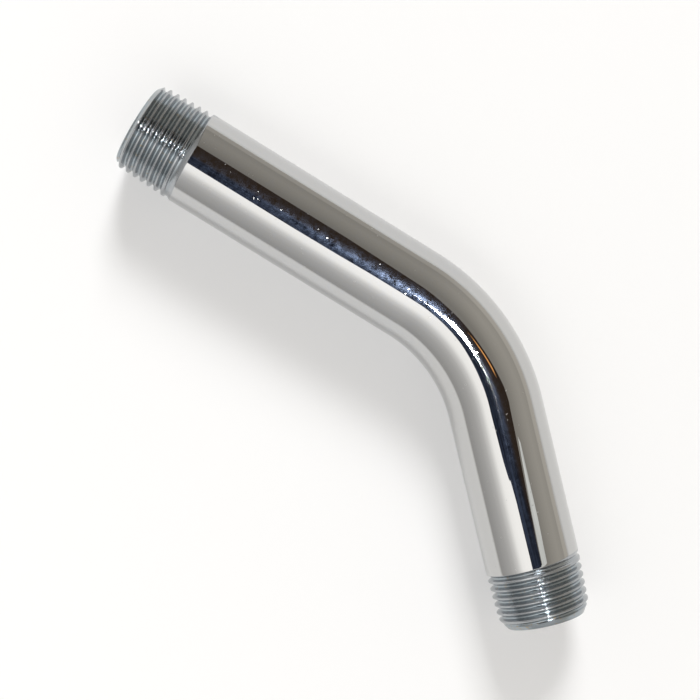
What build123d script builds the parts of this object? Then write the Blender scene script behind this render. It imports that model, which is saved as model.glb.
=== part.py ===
from build123d import *
import os
from math import atan, ceil, degrees, radians, tan

# Shower arm: one brass pipe with a single bend and a taper pipe thread cut on each end.
# Millimetres. The arm lies on its side, so its bend is in the XY plane and +Z is up.
# The origin is the centre of the wall-end face. +X runs along the wall leg towards the bend,
# and the bend turns towards -Y.

# Pipe
PIPE_OD = 21.336
PIPE_WALL = 2.77
WALL_LEG = 71.4
OUTLET_LEG = 48.6
BEND_RADIUS = 41.3
BEND_ANGLE = 45.0

# Thread form: right hand, 14 turns to the inch, on a cone of 1 in 16 on the diameter
THREAD_PITCH = 25.4 / 14
THREAD_TAPER = 1 / 16
FLANK_ANGLE = 60.0
CREST_FLAT = 0.3
ROOT_FLAT = 0.45

# Full-depth length of each thread, where its groove starts to run out
WALL_THREAD_LENGTH = 12.5
OUTLET_THREAD_LENGTH = 11.9

# Angle about the leg at which each groove starts to run out, from the outside of the bend
WALL_THREAD_STOP = 20.0
OUTLET_THREAD_STOP = 170.0

# Ends: length of the outside chamfer, width of the flat ring that it leaves on the end face,
# and the chamfer that breaks the bore's edge
WALL_CHAMFER_LENGTH = 1.1
WALL_FACE_WIDTH = 0.65
OUTLET_CHAMFER_LENGTH = 2.4
OUTLET_FACE_WIDTH = 0.4
BORE_CHAMFER = 0.5

# Worked out from the sizes above
PIPE_RADIUS = PIPE_OD / 2
BORE_RADIUS = PIPE_RADIUS - PIPE_WALL
TAPER_SLOPE = THREAD_TAPER / 2
FLANK_SLOPE = tan(radians(FLANK_ANGLE / 2))
THREAD_DEPTH = (THREAD_PITCH - CREST_FLAT - ROOT_FLAT) / (2 * FLANK_SLOPE)
# How far a cutter stands out of the surface that it cuts
OVERCUT = 0.05


def centreline(wall_gap, outlet_gap):
    """The wall leg, the bend and the outlet leg, stopped short of the two end faces."""
    wall_leg = Line((wall_gap, 0), (WALL_LEG, 0))
    bend = JernArc(wall_leg @ 1, wall_leg % 1, BEND_RADIUS, -BEND_ANGLE)
    outlet_leg = Line(bend @ 1, (bend @ 1) + (OUTLET_LEG - outlet_gap) * (bend % 1))
    return Wire([wall_leg, bend, outlet_leg])


def pipe(path):
    """Plain pipe along a path."""
    ring = Circle(PIPE_RADIUS) - Circle(BORE_RADIUS)
    return sweep(path.location_at(0) * ring, path=path)


def turned(*outline):
    """A solid of revolution about Z from the outline's corners, each a radius and a height."""
    return revolve(Plane.XZ * make_face(Polyline(*outline, close=True)), Axis.Z)


def crest_radius(height, cone_top):
    """The crest cone's radius at a height above the end face. It meets the pipe at its top."""
    return PIPE_RADIUS - TAPER_SLOPE * (cone_top - height)


def end_blank(height, cone_top, face_width, chamfer_length):
    """A pipe end before threading: turned to the crest cone and chamfered inside and out."""
    return turned(
        (BORE_RADIUS + BORE_CHAMFER, 0),
        (BORE_RADIUS + BORE_CHAMFER + face_width, 0),
        (crest_radius(chamfer_length, cone_top), chamfer_length),
        (PIPE_RADIUS, cone_top),
        (PIPE_RADIUS, height),
        (BORE_RADIUS, height),
        (BORE_RADIUS, BORE_CHAMFER),
    )


def groove_turn(root, start, slope):
    """One right-hand turn of the thread's groove, climbing a cone of the given slope.

    The section is a flat root with a flank on each side, and it starts at full depth.
    """
    rim = root + THREAD_DEPTH + OVERCUT
    root_half = ROOT_FLAT / 2
    rim_half = root_half + (rim - root) * FLANK_SLOPE
    corners = [
        (root, start + root_half),
        (root, start - root_half),
        (rim, start - rim_half),
        (rim, start + rim_half),
    ]
    angle = degrees(atan(slope))
    lines = [
        Helix(THREAD_PITCH, THREAD_PITCH, radius, center=(0, 0, height), cone_angle=angle).edge()
        for radius, height in corners
    ]
    sides = [Face.make_surface_from_curves(a, b) for a, b in zip(lines, lines[1:] + lines[:1])]
    caps = [Face(Wire.make_polygon([line @ end for line in lines], close=True)) for end in (0, 1)]
    return Solid(Shell(sides + caps))


def threaded_end(length, stop_angle, face_width, chamfer_length):
    """A pipe end with its thread, from the end face at height 0, and its height.

    Full turns are cut back from the stop to past the end face. The last turn lifts the groove
    clear of the pipe, and the crest cone meets the pipe where that turn ends.
    """
    cone_top = length + THREAD_PITCH
    height = cone_top + 2 * THREAD_PITCH
    end = end_blank(height, cone_top, face_width, chamfer_length)
    for turn in range(1, ceil(length / THREAD_PITCH) + 2):
        start = length - turn * THREAD_PITCH
        end -= groove_turn(crest_radius(start, cone_top) - THREAD_DEPTH, start, TAPER_SLOPE)
    last_root = crest_radius(length, cone_top) - THREAD_DEPTH
    end -= groove_turn(last_root, length, (PIPE_RADIUS + OVERCUT - last_root) / THREAD_PITCH)
    return end.rotate(Axis.Z, stop_angle), height


def arm_tube():
    """The whole arm: both threaded ends and the bent pipe between them."""
    wall_end, wall_gap = threaded_end(
        WALL_THREAD_LENGTH, WALL_THREAD_STOP, WALL_FACE_WIDTH, WALL_CHAMFER_LENGTH
    )
    outlet_end, outlet_gap = threaded_end(
        OUTLET_THREAD_LENGTH, OUTLET_THREAD_STOP, OUTLET_FACE_WIDTH, OUTLET_CHAMFER_LENGTH
    )
    whole = centreline(0, 0)
    wall_plane = Plane(origin=whole @ 0, x_dir=(0, 1, 0), z_dir=whole % 0)
    outside = (whole % 1).rotate(Axis.Z, 90)
    outlet_plane = Plane(origin=whole @ 1, x_dir=outside, z_dir=-(whole % 1))
    return pipe(centreline(wall_gap, outlet_gap)) + wall_plane * wall_end + outlet_plane * outlet_end


os.makedirs("parts", exist_ok=True)
export_step(arm_tube(), "parts/arm_tube.step")
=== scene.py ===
"""A bent, chrome-plated brass shower arm with a taper thread on each end, on white paper."""

import logging
import math
from dataclasses import dataclass, field
from enum import Enum

import bpy
import numpy as np
from mathutils import Matrix, Vector


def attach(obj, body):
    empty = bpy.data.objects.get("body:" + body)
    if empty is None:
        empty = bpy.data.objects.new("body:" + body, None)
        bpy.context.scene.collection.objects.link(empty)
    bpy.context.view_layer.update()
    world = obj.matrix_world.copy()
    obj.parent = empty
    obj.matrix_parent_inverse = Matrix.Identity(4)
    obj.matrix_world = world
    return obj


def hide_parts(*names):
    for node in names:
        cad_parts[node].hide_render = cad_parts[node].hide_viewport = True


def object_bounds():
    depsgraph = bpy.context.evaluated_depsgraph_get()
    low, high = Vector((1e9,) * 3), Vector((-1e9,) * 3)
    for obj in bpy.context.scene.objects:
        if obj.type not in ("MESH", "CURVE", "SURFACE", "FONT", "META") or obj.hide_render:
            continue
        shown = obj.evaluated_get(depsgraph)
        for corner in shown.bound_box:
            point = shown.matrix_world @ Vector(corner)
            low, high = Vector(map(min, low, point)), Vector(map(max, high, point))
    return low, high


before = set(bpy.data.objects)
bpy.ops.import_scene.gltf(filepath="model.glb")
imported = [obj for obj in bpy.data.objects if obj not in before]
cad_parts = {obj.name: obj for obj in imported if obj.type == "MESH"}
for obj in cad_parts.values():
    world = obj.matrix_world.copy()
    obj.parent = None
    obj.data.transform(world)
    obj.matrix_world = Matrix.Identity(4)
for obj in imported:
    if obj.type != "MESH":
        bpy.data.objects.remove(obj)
CAD_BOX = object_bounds()

LOG = logging.getLogger("shower_arm")
MM = 0.001
GROOVE_DEPTH = "groove_depth"
PICTURE_WIDTH_PX = 700
SENSOR_WIDTH_MM = 36.0
UP = Vector((0.0, 0.0, 1.0))
WHITE = (1.0, 1.0, 1.0, 1.0)
# The mix node's input sockets for its share, two numbers and two colours, and its outputs
MIX_SHARE, MIX_NUMBERS, MIX_COLOURS = 0, (2, 3), (6, 7)
MIXED_NUMBER, MIXED_COLOUR = 0, 2


def linear(colour: str) -> tuple[float, float, float, float]:
    """Turn an sRGB hex colour into linear red, green, blue and an alpha of 1.

    Args:
        colour: The colour as "#RRGGBB".

    Returns:
        The four linear channels.
    """
    channels = [int(colour[i : i + 2], 16) / 255 for i in (1, 3, 5)]
    red, green, blue = (
        c / 12.92 if c <= 0.04045 else ((c + 0.055) / 1.055) ** 2.4 for c in channels
    )
    return red, green, blue, 1.0


def add_node(
    tree: bpy.types.NodeTree,
    kind: str,
    settings: dict[str, object] | None = None,
    values: dict[str | int, object] | None = None,
    links: dict[str | int, bpy.types.NodeSocket] | None = None,
) -> bpy.types.Node:
    """Add a node to a tree, with its settings, its sockets' values and its incoming links.

    Args:
        tree: The node tree that gets the node.
        kind: The node's Blender type.
        settings: Attributes of the node.
        values: Default values, by input socket.
        links: The output socket that feeds each input socket.

    Returns:
        The new node.
    """
    node = tree.nodes.new(kind)
    for name, value in (settings or {}).items():
        setattr(node, name, value)
    for socket, value in (values or {}).items():
        node.inputs[socket].default_value = value
    for socket, source in (links or {}).items():
        tree.links.new(source, node.inputs[socket])
    return node


def add_range(
    tree: bpy.types.NodeTree,
    source: bpy.types.NodeSocket,
    band: tuple[float, float],
    result: tuple[float, float] = (0.0, 1.0),
    eased: bool = False,
) -> bpy.types.NodeSocket:
    """Add a node that maps a band of values to another range and holds it beyond the band.

    Args:
        tree: The node tree that gets the node.
        source: The output socket with the values.
        band: Where the band starts and stops.
        result: What the band's start and stop become.
        eased: Whether the map starts and stops softly.

    Returns:
        The output socket with the mapped values.
    """
    node = add_node(
        tree,
        "ShaderNodeMapRange",
        settings={"interpolation_type": "SMOOTHSTEP" if eased else "LINEAR"},
        values=dict(zip(("From Min", "From Max", "To Min", "To Max"), (*band, *result))),
        links={"Value": source},
    )
    return node.outputs["Result"]


def add_noise(
    tree: bpy.types.NodeTree,
    place: bpy.types.NodeSocket,
    size_mm: float,
    detail: float,
    roughness: float = 0.5,
) -> bpy.types.NodeSocket:
    """Add a cloudy noise.

    Args:
        tree: The node tree that gets the node.
        place: The output socket with the place in metres.
        size_mm: The size of the noise's largest patches, in millimetres.
        detail: How many finer layers the noise has.
        roughness: How strong the finer layers are.

    Returns:
        The output socket with the noise, from 0 to 1.
    """
    values = {"Scale": 1 / (size_mm * MM), "Detail": detail, "Roughness": roughness}
    node = add_node(tree, "ShaderNodeTexNoise", values=values, links={"Vector": place})
    return node.outputs["Fac"]


def add_math(
    tree: bpy.types.NodeTree,
    operation: str,
    first: bpy.types.NodeSocket,
    second: bpy.types.NodeSocket | float,
) -> bpy.types.NodeSocket:
    """Add a node that works on two numbers.

    Args:
        tree: The node tree that gets the node.
        operation: The node's operation.
        first: The output socket with the first number.
        second: The second number, or the output socket with it.

    Returns:
        The output socket with the result.
    """
    node = add_node(tree, "ShaderNodeMath", settings={"operation": operation}, links={0: first})
    if isinstance(second, float):
        node.inputs[1].default_value = second
    else:
        tree.links.new(second, node.inputs[1])
    return node.outputs["Value"]


def add_blend(
    tree: bpy.types.NodeTree,
    share: bpy.types.NodeSocket,
    first: bpy.types.NodeSocket | str,
    second: bpy.types.NodeSocket | str,
) -> bpy.types.NodeSocket:
    """Add a node that blends two colours.

    Args:
        tree: The node tree that gets the node.
        share: The output socket with the second colour's share.
        first: The first colour as "#RRGGBB", or the output socket with it.
        second: The second colour, likewise.

    Returns:
        The output socket with the blended colour.
    """
    node = add_node(
        tree, "ShaderNodeMix", settings={"data_type": "RGBA"}, links={MIX_SHARE: share}
    )
    for socket, colour in zip(MIX_COLOURS, (first, second)):
        if isinstance(colour, str):
            node.inputs[socket].default_value = linear(colour)
        else:
            tree.links.new(colour, node.inputs[socket])
    return node.outputs[MIXED_COLOUR]


def new_material(name: str) -> tuple[bpy.types.Material, bpy.types.NodeTree]:
    """Make an empty node material.

    Args:
        name: The material's name.

    Returns:
        The material and its cleared node tree.
    """
    material = bpy.data.materials.new(name)
    material.use_nodes = True
    material.node_tree.nodes.clear()
    return material, material.node_tree


def smooth_step(value: float, start: float, stop: float) -> float:
    """Ease from 0 at start to 1 at stop.

    Args:
        value: Where between them the step is read.
        start: Where it leaves 0.
        stop: Where it reaches 1.

    Returns:
        The eased share.
    """
    share = min(1.0, max(0.0, (value - start) / (stop - start)))
    return share * share * (3 - 2 * share)


def soft_min(a: float, b: float, reach: float) -> float:
    """Take the lower of two radii, with the corner between them rounded off.

    Args:
        a: One radius.
        b: The other radius.
        reach: How near the two are where the rounding starts.

    Returns:
        The blended radius.
    """
    overlap = max(reach - abs(a - b), 0.0)
    return min(a, b) - overlap * overlap / (4 * reach)


class Surface(Enum):
    """The finishes of the arm's surfaces, in the order of the mesh's material slots."""

    POLISHED = 0
    THREADED = 1
    WATERWAY = 2


@dataclass(frozen=True)
class PolishedChrome:
    """Bright chromium plate on a brass pipe that was buffed before plating.

    The plate is thin and follows the brass, so it gives a near-perfect mirror with a faint
    polishing haze, a slow waviness from drawing and bending, and a few fine pits. Buffing
    scratches a hundredth of a millimetre wide and pits of a tenth are too fine to show, so both
    patterns are drawn coarser.
    """

    plate: str = "#C1C1C0"
    roughness: float = 0.016
    haze: float = 0.03
    haze_mm: float = 14.0
    haze_band: tuple[float, float] = (0.35, 0.75)
    # painted light: the bluish tint of the flash and room, put into the scratch lobe's colour
    scratch_blue_light_tint: str = "#A9BDE2"
    scratch_roughness: float = 0.27
    scratch_share: float = 0.065
    scratch_mm: float = 1.3
    scratch_band: tuple[float, float] = (0.38, 0.66)
    worn_to_mm: tuple[float, float] = (75.0, 86.0)
    wear_left: float = 0.1
    wave_mm: float = 26.0
    wave_height_mm: float = 0.04
    pit_mm: float = 0.9
    pit_edge: tuple[float, float] = (0.30, 0.12)
    pit_share: float = 0.1
    pit_roughness: float = 0.30

    def build(self) -> bpy.types.Material:
        """Make the node material.

        Returns:
            The polished plate's material.
        """
        material, tree = new_material("polished_chrome_plate_on_brass")
        place = add_node(tree, "ShaderNodeTexCoord").outputs["Object"]
        # Buffing haze: long soft patches that are slightly less bright than the rest
        haze = add_noise(tree, place, self.haze_mm, detail=3.0, roughness=0.6)
        hazed = add_range(tree, haze, self.haze_band, (self.roughness, self.haze))
        # Pits: single specks in some of the cells of a fine pattern
        cells = add_node(
            tree,
            "ShaderNodeTexVoronoi",
            values={"Scale": 1 / (self.pit_mm * MM)},
            links={"Vector": place},
        )
        near = add_range(tree, cells.outputs["Distance"], self.pit_edge)
        chance = add_node(tree, "ShaderNodeSeparateColor", links={"Color": cells.outputs["Color"]})
        chosen = add_math(tree, "LESS_THAN", chance.outputs["Red"], self.pit_share)
        pit = add_math(tree, "MULTIPLY", near, chosen)
        rough = add_node(
            tree,
            "ShaderNodeMix",
            settings={"data_type": "FLOAT"},
            values={MIX_NUMBERS[1]: self.pit_roughness},
            links={MIX_SHARE: pit, MIX_NUMBERS[0]: hazed},
        )
        wave = add_noise(tree, place, self.wave_mm, detail=1.0)
        bump = add_node(
            tree,
            "ShaderNodeBump",
            values={"Strength": 1.0, "Distance": self.wave_height_mm * MM},
            links={"Height": wave},
        )
        shader = add_node(
            tree,
            "ShaderNodeBsdfPrincipled",
            values={"Base Color": linear(self.plate), "Metallic": 1.0},
            links={"Roughness": rough.outputs[MIXED_NUMBER], "Normal": bump.outputs["Normal"]},
        )
        # Fine buffing scratches: a rough lobe that spreads each bright reflection into a faint
        # glow, in patches; its blue is painted light, the bluish tint of the flash and room put
        # into the plate's colour
        patches = add_noise(tree, place, self.scratch_mm, detail=6.0, roughness=0.75)
        share = add_range(tree, patches, self.scratch_band, (0.0, self.scratch_share))
        # The rough lobe, and with it the painted blue sheen, fades out over the bend, as wear from
        # handling the wall leg more than the bend and the outlet leg
        legs = add_node(tree, "ShaderNodeSeparateXYZ", links={"Vector": place})
        worn_to = (self.worn_to_mm[0] * MM, self.worn_to_mm[1] * MM)
        handled = add_range(tree, legs.outputs["X"], worn_to, (1.0, self.wear_left), eased=True)
        wear_and_blue_sheen = add_math(tree, "MULTIPLY", share, handled)
        scratches = add_node(
            tree,
            "ShaderNodeBsdfPrincipled",
            values={
                "Base Color": linear(self.scratch_blue_light_tint),
                "Metallic": 1.0,
                "Roughness": self.scratch_roughness,
            },
        )
        mixed = add_node(
            tree,
            "ShaderNodeMixShader",
            links={0: wear_and_blue_sheen, 1: shader.outputs["BSDF"], 2: scratches.outputs["BSDF"]},
        )
        add_node(tree, "ShaderNodeOutputMaterial", links={"Surface": mixed.outputs["Shader"]})
        return material


@dataclass(frozen=True)
class PlatedThread:
    """Chromium plate on a thread that was cut after the pipe was buffed.

    The die's marks stay under the plate, so the flanks are a little duller than the pipe, and
    the plate is thin in the roots, where a warm brown of brass shows. The marks of a tenth of a
    millimetre are too fine to show, so they are drawn coarser.
    """

    plate: str = "#A9ACAF"
    root: str = "#9BA3A8"
    brass: str = "#B08C4A"
    roughness: float = 0.11
    torn_roughness: float = 0.26
    torn_band: tuple[float, float] = (0.35, 0.6)
    root_band: tuple[float, float] = (0.3, 0.9)
    fleck_band: tuple[float, float] = (0.60, 0.70)
    fleck_share: float = 0.5
    mark_mm: float = 0.9
    mark_height_mm: float = 0.017

    def build(self) -> bpy.types.Material:
        """Make the node material.

        Returns:
            The threads' material.
        """
        material, tree = new_material("chrome_plate_on_cut_thread")
        place = add_node(tree, "ShaderNodeTexCoord").outputs["Object"]
        depth = add_node(tree, "ShaderNodeAttribute", settings={"attribute_name": GROOVE_DEPTH})
        marks = add_noise(tree, place, self.mark_mm, detail=2.5, roughness=0.6)
        rough = add_range(tree, marks, self.torn_band, (self.roughness, self.torn_roughness))
        share = add_range(tree, depth.outputs["Fac"], self.root_band)
        grey = add_blend(tree, share, self.plate, self.root)
        # Flecks of bare brass, only where the groove is deep
        flecks = add_noise(tree, place, self.mark_mm, detail=2.0, roughness=0.8)
        bare = add_range(tree, flecks, self.fleck_band, (0.0, self.fleck_share))
        colour = add_blend(tree, add_math(tree, "MULTIPLY", bare, share), grey, self.brass)
        bump = add_node(
            tree,
            "ShaderNodeBump",
            values={"Strength": 1.0, "Distance": self.mark_height_mm * MM},
            links={"Height": marks},
        )
        shader = add_node(
            tree,
            "ShaderNodeBsdfPrincipled",
            values={"Metallic": 1.0},
            links={"Base Color": colour, "Roughness": rough, "Normal": bump.outputs["Normal"]},
        )
        add_node(tree, "ShaderNodeOutputMaterial", links={"Surface": shader.outputs["BSDF"]})
        return material


@dataclass(frozen=True)
class DrawnBrass:
    """Bare drawn brass inside the pipe, where the plating bath hardly reached.

    It is a dull yellow metal with brown tarnish in soft patches.
    """

    brass: str = "#B58E4E"
    tarnish: str = "#6B5232"
    roughness: float = 0.30
    tarnish_roughness: float = 0.56
    tarnish_mm: float = 4.0
    tarnish_band: tuple[float, float] = (0.42, 0.68)
    drawing_height_mm: float = 0.02
    drawing_strength: float = 0.6

    def build(self) -> bpy.types.Material:
        """Make the node material.

        Returns:
            The waterway's material.
        """
        material, tree = new_material("drawn_brass_bore")
        place = add_node(tree, "ShaderNodeTexCoord").outputs["Object"]
        patches = add_noise(tree, place, self.tarnish_mm, detail=6.0, roughness=0.65)
        share = add_range(tree, patches, self.tarnish_band)
        colour = add_blend(tree, share, self.brass, self.tarnish)
        rough = add_range(tree, share, (0.0, 1.0), (self.roughness, self.tarnish_roughness))
        bump = add_node(
            tree,
            "ShaderNodeBump",
            values={"Strength": self.drawing_strength, "Distance": self.drawing_height_mm * MM},
            links={"Height": patches},
        )
        shader = add_node(
            tree,
            "ShaderNodeBsdfPrincipled",
            values={"Metallic": 1.0},
            links={"Base Color": colour, "Roughness": rough, "Normal": bump.outputs["Normal"]},
        )
        add_node(tree, "ShaderNodeOutputMaterial", links={"Surface": shader.outputs["BSDF"]})
        return material


@dataclass
class MeshDraft:
    """Vertices and faces gathered from the arm's parts before they become one mesh."""

    sharp_angle: float = 42.0
    points: list[Vector] = field(default_factory=list)
    depths: list[float] = field(default_factory=list)
    faces: list[tuple[int, ...]] = field(default_factory=list)
    surfaces: list[int] = field(default_factory=list)

    def add_point(self, point: Vector, depth: float = 0.0) -> int:
        """Add a vertex.

        Args:
            point: Its place in metres.
            depth: How deep in a groove it lies, from 0 to 1.

        Returns:
            Its number.
        """
        self.points.append(point)
        self.depths.append(depth)
        return len(self.points) - 1

    def add_face(self, corners: tuple[int, ...], surface: Surface) -> None:
        """Add a face, leaving out corners that are the same vertex.

        Args:
            corners: The corners' vertex numbers, in turn.
            surface: The finish that the face has.
        """
        kept = [c for i, c in enumerate(corners) if c != corners[i - 1]]
        if len(kept) >= 3 and len(set(kept)) == len(kept):
            self.faces.append(tuple(kept))
            self.surfaces.append(surface.value)

    def add_band(self, first: list[int], second: list[int], surface: Surface) -> None:
        """Join two closed rings of vertices by a band of quads.

        Args:
            first: The ring that the band starts from.
            second: The ring that it ends on, with as many vertices.
            surface: The finish that the band has.
        """
        for i in range(len(first)):
            j = (i + 1) % len(first)
            self.add_face((first[i], first[j], second[j], second[i]), surface)

    def build(self, name: str, materials: list[bpy.types.Material]) -> bpy.types.Object:
        """Turn the draft into an object with smooth faces and crisp edges.

        Args:
            name: The object's name.
            materials: The materials, in the order of the mesh's slots.

        Returns:
            The new object.
        """
        mesh = bpy.data.meshes.new(name)
        mesh.from_pydata([tuple(p) for p in self.points], [], self.faces)
        for material in materials:
            mesh.materials.append(material)
        mesh.polygons.foreach_set("material_index", self.surfaces)
        attribute = mesh.attributes.new(GROOVE_DEPTH, "FLOAT", "POINT")
        attribute.data.foreach_set("value", self.depths)
        mesh.polygons.foreach_set("use_smooth", [True] * len(self.faces))
        mesh.set_sharp_from_angle(angle=math.radians(self.sharp_angle))
        mesh.validate()
        made = bpy.data.objects.new(name, mesh)
        bpy.context.scene.collection.objects.link(made)
        return made


@dataclass(frozen=True)
class Pipe:
    """The pipe that the arm is bent from, and its centreline. Lengths are in millimetres."""

    radius: float = 10.668
    wall: float = 2.77
    wall_leg: float = 71.4
    outlet_leg: float = 48.6
    bend_radius: float = 41.3
    bend_angle: float = 45.0
    columns: int = 180
    bend_rings: int = 45
    leg_rings: int = 4

    @property
    def bore_radius(self) -> float:
        """The waterway's radius."""
        return self.radius - self.wall

    @property
    def bend_length(self) -> float:
        """The centreline's length round the bend."""
        return self.bend_radius * math.radians(self.bend_angle)

    @property
    def length(self) -> float:
        """The centreline's whole length."""
        return self.wall_leg + self.bend_length + self.outlet_leg

    def station(self, along: float) -> tuple[Vector, Vector, Vector]:
        """Find a place on the centreline.

        Args:
            along: Distance from the wall end.

        Returns:
            The place, the direction along the pipe and the direction to the bend's outside.
        """
        turned = min(max(along - self.wall_leg, 0.0), self.bend_length) / self.bend_radius
        heading = Vector((math.cos(turned), -math.sin(turned), 0.0))
        outside = Vector((math.sin(turned), math.cos(turned), 0.0))
        if along <= self.wall_leg:
            return Vector((along, 0.0, 0.0)), heading, outside
        centre = Vector((self.wall_leg, -self.bend_radius, 0.0))
        place = centre + self.bend_radius * outside
        beyond = max(along - self.wall_leg - self.bend_length, 0.0)
        return place + beyond * heading, heading, outside

    def ring(self, draft: MeshDraft, along: float, radius: float, start: float) -> list[int]:
        """Add a ring of vertices round the centreline.

        Args:
            draft: The mesh that gets them.
            along: The ring's distance from the wall end.
            radius: The ring's radius.
            start: Angle of its first vertex from the bend's outside towards +Z, in degrees.

        Returns:
            The ring's vertex numbers.
        """
        place, _, outside = self.station(along)
        made = []
        for column in range(self.columns):
            angle = math.radians(start + 360.0 * column / self.columns)
            spoke = math.cos(angle) * outside + math.sin(angle) * UP
            made.append(draft.add_point((place + radius * spoke) * MM))
        return made

    def ring_places(self, first: float, last: float) -> list[float]:
        """List where the rings between two places go: close together only round the bend.

        Args:
            first: Distance of the first place from the wall end.
            last: Distance of the last place from the wall end.

        Returns:
            The rings' distances from the wall end, without the two places.
        """
        bend_end = self.wall_leg + self.bend_length
        wall = np.linspace(first, self.wall_leg, self.leg_rings, endpoint=False)[1:]
        bend = np.linspace(self.wall_leg, bend_end, self.bend_rings, endpoint=False)
        outlet = np.linspace(bend_end, last, self.leg_rings, endpoint=False)
        return [float(x) for x in (*wall, *bend, *outlet)]


@dataclass(frozen=True)
class ThreadForm:
    """A right-hand taper pipe thread of half-inch size. Lengths are in millimetres."""

    pitch: float = 25.4 / 14
    taper: float = 1 / 16
    flank_angle: float = 60.0
    crest_flat: float = 0.3
    root_flat: float = 0.45
    root_round: float = 0.2
    crest_round: float = 0.12

    @property
    def flank_slope(self) -> float:
        """Rise of a flank for each millimetre along the pipe."""
        return 1 / math.tan(math.radians(self.flank_angle / 2))

    @property
    def depth(self) -> float:
        """Depth of the groove under the crests."""
        return (self.pitch - self.crest_flat - self.root_flat) * self.flank_slope / 2


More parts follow.
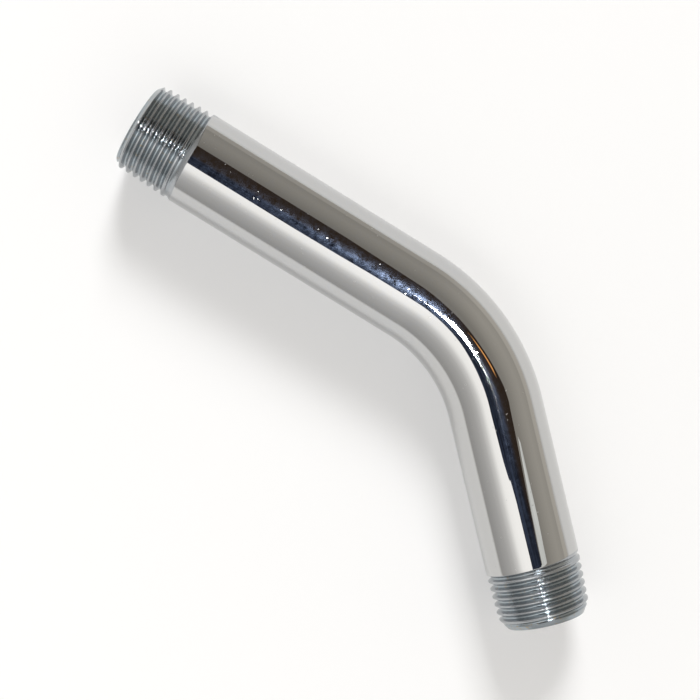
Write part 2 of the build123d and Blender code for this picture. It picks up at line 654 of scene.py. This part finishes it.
@dataclass(frozen=True)
class ThreadedEnd:
    """One end of the pipe with its thread, chamfer and end face. Lengths are in millimetres.

    Heights are measured from the end face into the pipe, and turns from the place where the
    groove starts to run out.
    """

    name: str
    pipe: Pipe
    form: ThreadForm
    at_outlet: bool
    thread_length: float
    stop_angle: float
    chamfer_length: float
    face_width: float
    ramp_from: float
    ramp_to: float
    ramp_slope: float = 0.6
    bore_chamfer: float = 0.5
    rim_round: float = 0.12
    plated_depth: float = 7.0
    cut_from: float = 0.012
    snap: float = 0.02
    margin_turns: float = 1.2
    row_shares: tuple[float, ...] = (
        0.0, 0.15, 0.22, 0.28, 0.36, 0.54, 0.72, 0.79, 0.84, 0.89, 1.0
    )

    @property
    def cone_top(self) -> float:
        """Height at which the crest cone meets the pipe."""
        return self.thread_length + self.form.pitch

    @property
    def height(self) -> float:
        """Height at which the plain pipe takes over."""
        return self.cone_top + self.margin_turns * self.form.pitch

    @property
    def face_radius(self) -> float:
        """Outer radius of the end face's flat ring."""
        return self.pipe.bore_radius + self.bore_chamfer + self.face_width

    def row_offsets(self) -> list[float]:
        """List the mesh rows of one pitch, closest together at the root and the crest.

        Returns:
            Their heights above the groove's own line.
        """
        half = self.form.pitch / 2
        upper = [half * share for share in self.row_shares]
        return [-h for h in reversed(upper[1:-1])] + upper

    def crest_radius(self, height: float) -> float:
        """Find the crest cone's radius, or the pipe's above the cone.

        Args:
            height: Height above the end face.

        Returns:
            The radius before the groove and the chamfer are cut.
        """
        return self.pipe.radius - self.form.taper / 2 * max(self.cone_top - height, 0.0)

    def blank_radius(self, height: float) -> float:
        """Find the blank's radius with its chamfer.

        Args:
            height: Height above the end face.

        Returns:
            The radius before the groove is cut.
        """
        full = self.crest_radius(self.chamfer_length)
        chamfer = self.face_radius + (full - self.face_radius) * height / self.chamfer_length
        return soft_min(self.crest_radius(height), chamfer, self.rim_round)

    def groove_radius(self, height: float, turn: float) -> float:
        """Find the groove's radius where one of its turns crosses a column of the mesh.

        Args:
            height: Height above the end face.
            turn: Turns from where the groove starts to run out, which is below 0 at full depth.

        Returns:
            The radius of the groove's surface.
        """
        line = self.thread_length + turn * self.form.pitch
        root = self.crest_radius(min(line, self.thread_length)) - self.form.depth
        slope = self.form.flank_slope
        if turn > 0:
            root += turn * (self.pipe.radius - root)
            ramp = smooth_step(turn * 360.0, self.ramp_from, self.ramp_to)
            if height > line:
                slope += ramp * (self.ramp_slope - slope)
        beside = abs(height - line) - self.form.root_flat / 2
        return root - slope * soft_min(-beside, 0.0, self.form.root_round)

    def surface(self, height: float, turn: float) -> tuple[float, float]:
        """Find the finished surface on a column of the mesh.

        Args:
            height: Height above the end face.
            turn: The column's share of a turn from the groove's stop.

        Returns:
            The radius, and how deep in the groove it lies from 0 to 1.
        """
        blank = self.blank_radius(height)
        nearest = round((height - self.thread_length) / self.form.pitch - turn)
        turns = [turn + min(step, 0) for step in range(nearest - 1, nearest + 2)]
        groove = min(self.groove_radius(height, t) for t in turns)
        radius = soft_min(blank, groove, self.form.crest_round)
        return radius, (self.crest_radius(height) - radius) / self.form.depth

    def angle(self, column: int) -> float:
        """Give a column's angle from the bend's outside towards +Z, in degrees."""
        local = self.stop_angle + 360.0 * column / self.pipe.columns
        return -local if self.at_outlet else local

    def point(self, height: float, radius: float, column: int) -> Vector:
        """Place a point of the end in the arm's own frame.

        Args:
            height: Height above the end face.
            radius: Distance from the centreline.
            column: The mesh column that it lies on.

        Returns:
            The place in metres.
        """
        along = self.pipe.length - height if self.at_outlet else height
        place, _, outside = self.pipe.station(along)
        angle = math.radians(self.angle(column))
        spoke = math.cos(angle) * outside + math.sin(angle) * UP
        return (place + radius * spoke) * MM

    def in_pipe_order(self, ring: list[int], start: float) -> list[int]:
        """Put a ring of this end's columns in the order of the pipe's own columns.

        Args:
            ring: Vertex numbers, one for each column of this end.
            start: Angle of the pipe's first column, in degrees.

        Returns:
            The same numbers in the pipe's order.
        """
        columns = self.pipe.columns
        ordered = [0] * columns
        for column, vertex in enumerate(ring):
            ordered[round((self.angle(column) - start) * columns / 360.0) % columns] = vertex
        return ordered

    def build_thread(self, draft: MeshDraft) -> tuple[list[int], list[int]]:
        """Add the thread: rows of quads that climb with the groove, cut off level at both ends.

        Args:
            draft: The mesh that gets them.

        Returns:
            The ring on the end face and the ring where the plain pipe takes over.
        """
        columns, pitch = self.pipe.columns, self.form.pitch
        offsets = self.row_offsets()
        first = -math.ceil(self.thread_length / pitch) - 2
        last = math.ceil((self.height - self.thread_length) / pitch) + 1
        rows = [self.thread_length + t * pitch + o for t in range(first, last + 1) for o in offsets]
        foot, top, numbers = [], [], []
        for column in range(columns):
            turn = column / columns
            foot.append(draft.add_point(self.point(0.0, self.surface(0.0, turn)[0], column)))
            top.append(draft.add_point(self.point(self.height, self.pipe.radius, column)))
            numbers.append([])
            for row in rows:
                height = row + turn * pitch
                if height < self.snap:
                    numbers[-1].append(foot[-1])
                elif height > self.height - self.snap:
                    numbers[-1].append(top[-1])
                else:
                    radius, depth = self.surface(height, turn)
                    numbers[-1].append(draft.add_point(self.point(height, radius, column), depth))
        for column in range(columns):
            wraps = column == columns - 1
            here, there = numbers[column], numbers[(column + 1) % columns]
            shift = len(offsets) if wraps else 0
            for row in range(len(rows) - 1 - shift):
                corners = (here[row], there[row + shift], there[row + 1 + shift], here[row + 1])
                whole = max(draft.depths[c] for c in corners) < self.cut_from
                beyond = whole and rows[row] > self.thread_length
                draft.add_face(corners, Surface.POLISHED if beyond else Surface.THREADED)
        return foot, top

    def build_mouth(self, draft: MeshDraft, foot: list[int]) -> list[int]:
        """Add the end face's flat ring, the bore's chamfer and the plated mouth of the bore.

        Args:
            draft: The mesh that gets them.
            foot: The outer ring on the end face.

        Returns:
            The ring where the bare bore takes over.
        """
        bore = self.pipe.bore_radius
        outline = (
            (0.0, bore + self.bore_chamfer),
            (self.bore_chamfer, bore),
            (self.plated_depth, bore),
        )
        outer = foot
        for height, radius in outline:
            inner = [
                draft.add_point(self.point(height, radius, column))
                for column in range(self.pipe.columns)
            ]
            draft.add_band(inner, outer, Surface.THREADED)
            outer = inner
        return outer


@dataclass
class ShowerArm:
    """The whole arm as one closed mesh that stands for the CAD model's pipe."""

    pipe: Pipe = field(default_factory=Pipe)
    form: ThreadForm = field(default_factory=ThreadForm)
    name: str = "plated_arm"

    def __post_init__(self) -> None:
        """Set out the two threaded ends."""
        self.wall_end = ThreadedEnd(
            name="wall end",
            pipe=self.pipe,
            form=self.form,
            at_outlet=False,
            thread_length=12.5,
            stop_angle=20.0,
            chamfer_length=1.1,
            face_width=0.65,
            ramp_from=0.0,
            ramp_to=60.0,
        )
        self.outlet_end = ThreadedEnd(
            name="outlet end",
            pipe=self.pipe,
            form=self.form,
            at_outlet=True,
            thread_length=11.9,
            stop_angle=170.0,
            chamfer_length=2.4,
            face_width=0.4,
            ramp_from=40.0,
            ramp_to=160.0,
        )

    def build(self) -> bpy.types.Object:
        """Make the mesh, dress it and let it stand for the CAD pipe.

        Returns:
            The arm's object.
        """
        draft = MeshDraft()
        start = self.wall_end.stop_angle
        rings = {}
        for end in (self.wall_end, self.outlet_end):
            foot, top = end.build_thread(draft)
            mouth = end.build_mouth(draft, foot)
            rings[end.name] = (end.in_pipe_order(top, start), end.in_pipe_order(mouth, start))
        self.build_tube(draft, rings, 0, self.pipe.radius, Surface.POLISHED)
        self.build_tube(draft, rings, 1, self.pipe.bore_radius, Surface.WATERWAY)
        finishes = [PolishedChrome(), PlatedThread(), DrawnBrass()]
        arm = draft.build(self.name, [finish.build() for finish in finishes])
        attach(arm, "root")
        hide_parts("arm_tube")
        return arm

    def build_tube(
        self,
        draft: MeshDraft,
        rings: dict[str, tuple[list[int], list[int]]],
        layer: int,
        radius: float,
        surface: Surface,
    ) -> None:
        """Add the outside or the inside of the pipe between the two ends.

        Args:
            draft: The mesh that gets it.
            rings: The outer and inner ring that each end leaves open.
            layer: 0 for the outside and 1 for the inside.
            radius: The tube's radius.
            surface: The finish that the tube has.
        """
        depths = [(e.height, e.plated_depth)[layer] for e in (self.wall_end, self.outlet_end)]
        before = rings[self.wall_end.name][layer]
        for along in self.pipe.ring_places(depths[0], self.pipe.length - depths[1]):
            ring = self.pipe.ring(draft, along, radius, self.wall_end.stop_angle)
            draft.add_band(*((before, ring), (ring, before))[layer], surface)
            before = ring
        last = rings[self.outlet_end.name][layer]
        draft.add_band(*((before, last), (last, before))[layer], surface)


@dataclass(frozen=True)
class PhotoCamera:
    """The camera at the photograph's place, fitted to the arm's outline."""

    place_mm: tuple[float, float, float] = (46.46, -24.75, 372.35)
    aim_mm: tuple[float, float, float] = (65.96, -18.0, 0.0)
    top_azimuth: float = 121.5
    focal_px: float = 1675.7

    def build(self) -> bpy.types.Object:
        """Make the camera and let the scene look through it.

        Returns:
            The camera's object.
        """
        data = bpy.data.cameras.new("photo_camera")
        data.sensor_width = SENSOR_WIDTH_MM
        data.lens = self.focal_px * SENSOR_WIDTH_MM / PICTURE_WIDTH_PX
        data.clip_start = 0.01
        data.clip_end = 10.0
        camera = bpy.data.objects.new("photo_camera", data)
        forward = (Vector(self.aim_mm) - Vector(self.place_mm)).normalized()
        azimuth = math.radians(self.top_azimuth)
        right = forward.cross(Vector((math.cos(azimuth), math.sin(azimuth), 0.0))).normalized()
        turn = Matrix((right, right.cross(forward), -forward)).transposed()
        camera.matrix_world = Matrix.Translation(Vector(self.place_mm) * MM) @ turn.to_4x4()
        bpy.context.scene.collection.objects.link(camera)
        bpy.context.scene.camera = camera
        return camera


@dataclass
class Studio:
    """A white table under soft light, with a faintly glowing dark card over the camera that paints
    the arm's dark reflection, and a small flash.

    Places and sizes of the paper and the lamps are in metres. The cards are in millimetres.
    """

    floor_half: float = 4.0
    paper: str = "#FBFBFB"
    # painted falloff: the grey that the paper is painted towards well outside the view, standing
    # for dimmer light there
    painted_pool_edge: str = "#C4C4C2"
    painted_pool_centre: tuple[float, float] = (0.066, -0.018)
    painted_pool_band: tuple[float, float] = (0.12, 0.45)
    paper_glow: float = 0.3
    flash_power: float = 0.9
    flash_place: tuple[float, float, float] = (0.1115, -0.015, 0.40)
    flash_size: tuple[float, float] = (0.055, 0.009)
    fill_power: float = 23.0
    fill_place: tuple[float, float, float] = (-0.5, 1.2, 0.95)
    fill_size: tuple[float, float] = (0.5, 0.5)
    lamp_aim: tuple[float, float, float] = (0.07, -0.02, 0.0)
    lamp_side: tuple[float, float, float] = (0.3, 0.95, 0.0)
    window_side: tuple[float, float, float] = (-0.383, -0.924, 0.0)
    window_tint: str = "#FFFDFA"
    room_tint: str = "#FFF8EC"
    side_blend: float = 0.15
    ramp_top: float = 1.6
    room_strength: tuple[float, float] = (1.6, 2.05)
    strength_reach: float = 0.35
    window_ramp: tuple[tuple[float, float], ...] = (
        (0.0, 0.50),
        (0.1, 0.50),
        (0.25, 0.56),
        (0.435, 0.63),
        (0.595, 0.76),
        (0.728, 1.04),
        (0.835, 1.5),
        (0.92, 1.6),
    )
    room_ramp: tuple[tuple[float, float], ...] = (
        (0.0, 0.52),
        (0.1, 0.50),
        (0.195, 0.49),
        (0.215, 0.38),
        (0.48, 0.41),
        (0.63, 0.38),
        (0.75, 0.34),
        (0.87, 0.28),
    )
    card_height: float = 480.0
    card_gap: float = 2.0
    card_shade: tuple[float, float] = (0.7, 1.3)
    card_mm: float = 1000 / 30
    # painted reflection: the colours the dark card glows with, warm on one side and cool with
    # bluish blotches on the other
    dark_glow: str = "#1E212C"
    blotch_glow: str = "#4A546A"
    warm_glow: str = "#3A2F26"
    glow_turn: float = 0.03
    glow_mm: float = 1000 / 18
    blotch_band: tuple[float, float] = (0.45, 0.7)
    window: str = "#EDEEEA"
    window_strength: float = 1.1
    amber: str = "#F0A860"
    amber_strength: float = 1.7
    flag_outline: tuple[tuple[float, float], ...] = (
        (-400.0, -176.0),
        (35.0, -170.0),
        (60.0, -158.0),
        (78.0, -140.0),
        (98.0, -136.0),
        (123.0, -154.0),
        (200.0, -235.0),
        (420.0, -235.0),
        (290.0, -80.0),
        (262.0, -6.0),
        (272.0, 40.0),
        (292.0, 100.0),
        (300.0, 140.0),
        (280.0, 152.0),
        (238.0, 142.0),
        (199.0, 135.0),
        (140.0, 164.0),
        (60.0, 243.0),
        (-400.0, 243.0),
    )
    window_outline: tuple[tuple[float, float], ...] = (
        (268.0, -40.0),
        (290.0, -60.0),
        (345.0, 20.0),
        (372.0, 110.0),
        (352.0, 150.0),
        (325.0, 130.0),
        (278.0, 32.0),
    )
    amber_outline: tuple[tuple[float, float], ...] = (
        (160.0, 96.0),
        (172.0, 84.0),
        (215.0, 92.0),
        (212.0, 106.0),
    )

    def build(self) -> None:
        """Make the floor, the cards, the lamps and the soft surroundings."""
        self.build_floor()
        self.build_flag()
        above = self.card_height - self.card_gap
        window = self.lit_card("window_card", self.window, self.window_strength)
        self.build_card("window_card", window, self.window_outline, above)
        amber = self.lit_card("amber_card", self.amber, self.amber_strength)
        self.build_card("amber_card", amber, self.amber_outline, above)
        # The flash gives the plate its spark. The fill lights the paper and throws the shadow
        flash = self.build_lamp("flash", self.flash_place, self.flash_power, self.flash_size)
        flash.visible_diffuse = False
        fill = self.build_lamp("fill", self.fill_place, self.fill_power, self.fill_size)
        fill.visible_glossy = False
        self.build_surroundings()

    def build_floor(self) -> None:
        """Make the white paper under the arm."""
        low = CAD_BOX[0].z
        material, tree = new_material("white_paper")
        # The paper glows a little for the camera and in the plate, and doesn't light anything
        path = add_node(tree, "ShaderNodeLightPath")
        kinds = [path.outputs[f"Is {kind} Ray"] for kind in ("Camera", "Glossy", "Transmission")]
        seen = add_math(tree, "MAXIMUM", add_math(tree, "MAXIMUM", kinds[0], kinds[1]), kinds[2])
        share = add_math(tree, "MULTIPLY", seen, self.paper_glow)
        # Painted pool of light: the paper's colour is white under the arm and is painted down to a
        # pale grey well outside the view, a painted falloff that stands for less light far away
        place = add_node(tree, "ShaderNodeTexCoord").outputs["Object"]
        apart = add_node(
            tree,
            "ShaderNodeVectorMath",
            settings={"operation": "DISTANCE"},
            values={1: (*self.painted_pool_centre, low)},
            links={0: place},
        )
        # painted pool of light: the paper's colour darkens with distance from the arm
        painted_falloff = add_range(tree, apart.outputs["Value"], self.painted_pool_band, eased=True)
        paper_with_painted_pool = add_blend(tree, painted_falloff, self.paper, self.painted_pool_edge)
        paper = add_node(tree, "ShaderNodeBsdfDiffuse", links={"Color": paper_with_painted_pool})
        white = add_node(tree, "ShaderNodeEmission", values={"Color": WHITE, "Strength": 1.0})
        mixed = add_node(
            tree,
            "ShaderNodeMixShader",
            links={0: share, 1: paper.outputs["BSDF"], 2: white.outputs["Emission"]},
        )
        add_node(tree, "ShaderNodeOutputMaterial", links={"Surface": mixed.outputs["Shader"]})
        mesh = bpy.data.meshes.new("paper_floor")
        half = self.floor_half
        corners = [(-half, -half, low), (half, -half, low), (half, half, low), (-half, half, low)]
        mesh.from_pydata(corners, [], [(0, 1, 2, 3)])
        mesh.materials.append(material)
        floor = bpy.data.objects.new("paper_floor", mesh)
        bpy.context.scene.collection.objects.link(floor)

    def build_flag(self) -> None:
        """Hang a dark card that glows faintly, painted warm on one side and cool with bluish
        blotches on the other, as a painted reflection of a dark room that gives the dark stripe
        along the arm.
        """
        material, tree = new_material("glowing_dark_card")
        place = add_node(tree, "ShaderNodeTexCoord").outputs["Object"]
        noise = add_noise(tree, place, self.glow_mm, detail=4.0, roughness=0.7)
        side = add_node(tree, "ShaderNodeSeparateXYZ", links={"Vector": place})
        across = add_range(tree, side.outputs["Y"], (self.glow_turn, -self.glow_turn))
        blotch = add_range(tree, noise, self.blotch_band)
        # painted reflection: the card glows cool with bluish blotches on one side and warm on the
        # other
        cool = add_blend(tree, blotch, self.dark_glow, self.blotch_glow)
        card_glow = add_blend(tree, across, self.warm_glow, cool)
        glow = add_node(tree, "ShaderNodeEmission", links={"Color": card_glow})
        add_node(tree, "ShaderNodeOutputMaterial", links={"Surface": glow.outputs["Emission"]})
        self.build_card("flag", material, self.flag_outline, self.card_height)

    def lit_card(self, name: str, colour: str, strength: float) -> bpy.types.Material:
        """Make the material of a lit card, a little uneven in brightness.

        Args:
            name: The material's name.
            colour: The light's colour as "#RRGGBB".
            strength: The light's mean strength.

        Returns:
            The card's material.
        """
        material, tree = new_material(name)
        place = add_node(tree, "ShaderNodeTexCoord").outputs["Object"]
        shade = add_noise(tree, place, self.card_mm, detail=2.0)
        dim, bright = (strength * share for share in self.card_shade)
        level = add_range(tree, shade, (0.0, 1.0), (dim, bright))
        lit = add_node(
            tree,
            "ShaderNodeEmission",
            values={"Color": linear(colour)},
            links={"Strength": level},
        )
        add_node(tree, "ShaderNodeOutputMaterial", links={"Surface": lit.outputs["Emission"]})
        return material

    @staticmethod
    def build_card(
        name: str,
        material: bpy.types.Material,
        outline: tuple[tuple[float, float], ...],
        height: float,
    ) -> None:
        """Hang a flat card level over the arm.

        Args:
            name: The card's name.
            material: Its material.
            outline: Its corners seen from above, in millimetres.
            height: Its height over the arm's axis, in millimetres.
        """
        mesh = bpy.data.meshes.new(name)
        corners = [(x * MM, y * MM, height * MM) for x, y in outline]
        mesh.from_pydata(corners, [], [tuple(range(len(outline)))])
        mesh.materials.append(material)
        card = bpy.data.objects.new(name, mesh)
        bpy.context.scene.collection.objects.link(card)

    def build_lamp(
        self,
        name: str,
        place: tuple[float, float, float],
        power: float,
        size: tuple[float, float],
    ) -> bpy.types.Object:
        """Put an area lamp somewhere and aim it at the arm.

        Args:
            name: The lamp's name.
            place: Where it stands, in metres.
            power: Its power in watts.
            size: Its side across the bend and its side along it, in metres.

        Returns:
            The lamp's object.
        """
        light = bpy.data.lights.new(name, "AREA")
        light.shape = "RECTANGLE"
        light.size, light.size_y = size
        light.energy = power
        lamp = bpy.data.objects.new(name, light)
        lamp.location = place
        lamp.rotation_mode = "QUATERNION"
        aim = (Vector(self.lamp_aim) - Vector(place)).normalized()
        along = Vector(self.lamp_side).cross(aim).normalized()
        turn = Matrix((aim.cross(along), along, -aim)).transposed()
        lamp.rotation_quaternion = turn.to_quaternion()
        bpy.context.scene.collection.objects.link(lamp)
        return lamp

    def build_surroundings(self) -> None:
        """Light the world: a bright window side, a grey room side and a pale low band."""
        world = bpy.data.worlds.new("soft_room")
        bpy.context.scene.world = world
        world.use_nodes = True
        tree = world.node_tree
        tree.nodes.clear()
        way = add_node(tree, "ShaderNodeTexCoord").outputs["Generated"]
        axes = add_node(tree, "ShaderNodeSeparateXYZ", links={"Vector": way})
        side = add_node(
            tree,
            "ShaderNodeVectorMath",
            settings={"operation": "DOT_PRODUCT"},
            values={1: self.window_side},
            links={0: way},
        )
        window = add_node(tree, "ShaderNodeValToRGB", links={"Fac": axes.outputs["Z"]})
        self.fill_ramp(window, self.window_ramp, self.window_tint)
        room = add_node(tree, "ShaderNodeValToRGB", links={"Fac": axes.outputs["Z"]})
        self.fill_ramp(room, self.room_ramp, self.room_tint)
        which = add_range(tree, side.outputs["Value"], (self.side_blend, -self.side_blend))
        mixed = add_blend(tree, which, window.outputs["Color"], room.outputs["Color"])
        reach = (0.0, self.strength_reach)
        level = add_range(tree, axes.outputs["X"], reach, self.room_strength)
        links = {"Color": mixed, "Strength": level}
        back = add_node(tree, "ShaderNodeBackground", links=links)
        add_node(tree, "ShaderNodeOutputWorld", links={"Surface": back.outputs["Background"]})

    def fill_ramp(
        self, node: bpy.types.Node, stops: tuple[tuple[float, float], ...], tint: str
    ) -> None:
        """Fill a colour ramp.

        Args:
            node: The ramp's node.
            stops: Position and brightness of each stop.
            tint: The colour of all stops as "#RRGGBB".
        """
        ramp = node.color_ramp
        while len(ramp.elements) > 1:
            ramp.elements.remove(ramp.elements[-1])
        for i, (position, level) in enumerate(stops):
            element = ramp.elements[0] if i == 0 else ramp.elements.new(position)
            element.position = position
            red, green, blue, alpha = linear(tint)
            share = level / self.ramp_top
            element.color = (share * red, share * green, share * blue, alpha)


def main() -> None:
    """Build the arm, the studio and the camera in this order, and log what was made."""
    logging.basicConfig(level=logging.INFO, format="%(message)s")
    bpy.context.scene.view_settings.view_transform = "Standard"
    arm = ShowerArm().build()
    LOG.info("%s: %d faces", arm.name, len(arm.data.polygons))
    studio = Studio()
    studio.build()
    LOG.info("studio: %g m of paper, cards at %g mm", 2 * studio.floor_half, studio.card_height)
    camera = PhotoCamera().build()
    LOG.info("%s at %s", camera.name, [round(x, 4) for x in camera.location])


if __name__ == "__main__":
    main()
